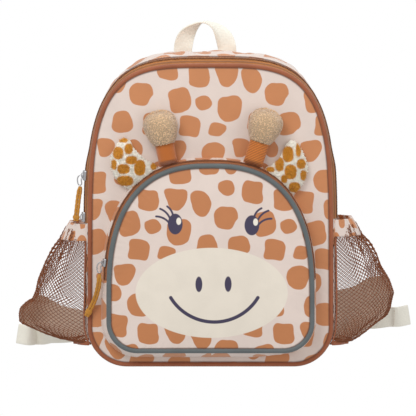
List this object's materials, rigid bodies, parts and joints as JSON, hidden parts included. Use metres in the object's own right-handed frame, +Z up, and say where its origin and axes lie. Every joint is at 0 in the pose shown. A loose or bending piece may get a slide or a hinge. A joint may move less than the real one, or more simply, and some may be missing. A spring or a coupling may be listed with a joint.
{
  "type": "kids animal backpack",
  "caption": "Small arched zip backpack with an animal-face front pocket, padded ears and horns, net side pockets, haul loop and padded shoulder straps.",
  "frame": {"origin": "middle of the flat base, on the surface that the bag stands on", "axes": "+Z up, +X to the right of someone looking at the front, the front faces -Y and the straps are at +Y"},
  "size_m": [0.397, 0.1803, 0.3412],
  "materials": {
    "printed_fabric": "smooth polyester with a terracotta patch print on pinkish beige",
    "brown_piping": "reddish brown bias binding round a cord",
    "grey_piping": "grey bias binding round a cord",
    "mustard_zip_tape": "mustard brown woven zip tape",
    "brown_zip_tape": "brown woven zip tape",
    "brown_zip_coil": "dark brown nylon coil",
    "slider_steel": "bright nickel plate",
    "mustard_cord": "mustard braided cord",
    "velvet_orange": "orange brown velvet, ribbed on one horn",
    "cream_terry": "beige looped terry",
    "spotted_plush": "cream short plush with mustard patches",
    "brown_net": "brown coarse diamond net",
    "ivory_webbing": "ivory ribbed webbing",
    "strap_fabric": "plain beige polyester over foam",
    "ivory_plastic": "moulded ivory plastic"
  },
  "bodies": {
    "root": {"front_panel": "printed_fabric", "back_panel": "printed_fabric", "gusset": "printed_fabric", "front_piping": "brown_piping", "back_piping": "brown_piping", "main_zip_tape": "mustard_zip_tape", "main_zip_coil": "brown_zip_coil", "main_slider_upper": "slider_steel", "main_slider_lower": "slider_steel", "main_pull_wire": "slider_steel", "main_pull_cord": "mustard_cord", "pocket_front": "printed_fabric", "pocket_gusset": "printed_fabric", "pocket_piping": "grey_piping", "pocket_zip_tape": "brown_zip_tape", "pocket_zip_coil": "brown_zip_coil", "pocket_slider": "slider_steel", "pocket_pull_wire": "slider_steel", "pocket_pull_cord": "mustard_cord", "horn_stem_left": "velvet_orange", "horn_stem_right": "velvet_orange", "horn_tip_left": "cream_terry", "horn_tip_right": "cream_terry", "ear_left": "spotted_plush", "ear_right": "spotted_plush", "net_pocket_left": "brown_net", "net_pocket_right": "brown_net", "net_hem_left": "printed_fabric", "net_hem_right": "printed_fabric", "haul_loop": "ivory_webbing", "shoulder_strap_left": "strap_fabric", "shoulder_strap_right": "strap_fabric", "strap_webbing_left": "ivory_webbing", "strap_webbing_right": "ivory_webbing", "ladder_lock_left": "ivory_plastic", "ladder_lock_right": "ivory_plastic"}
  },
  "joints": []
}
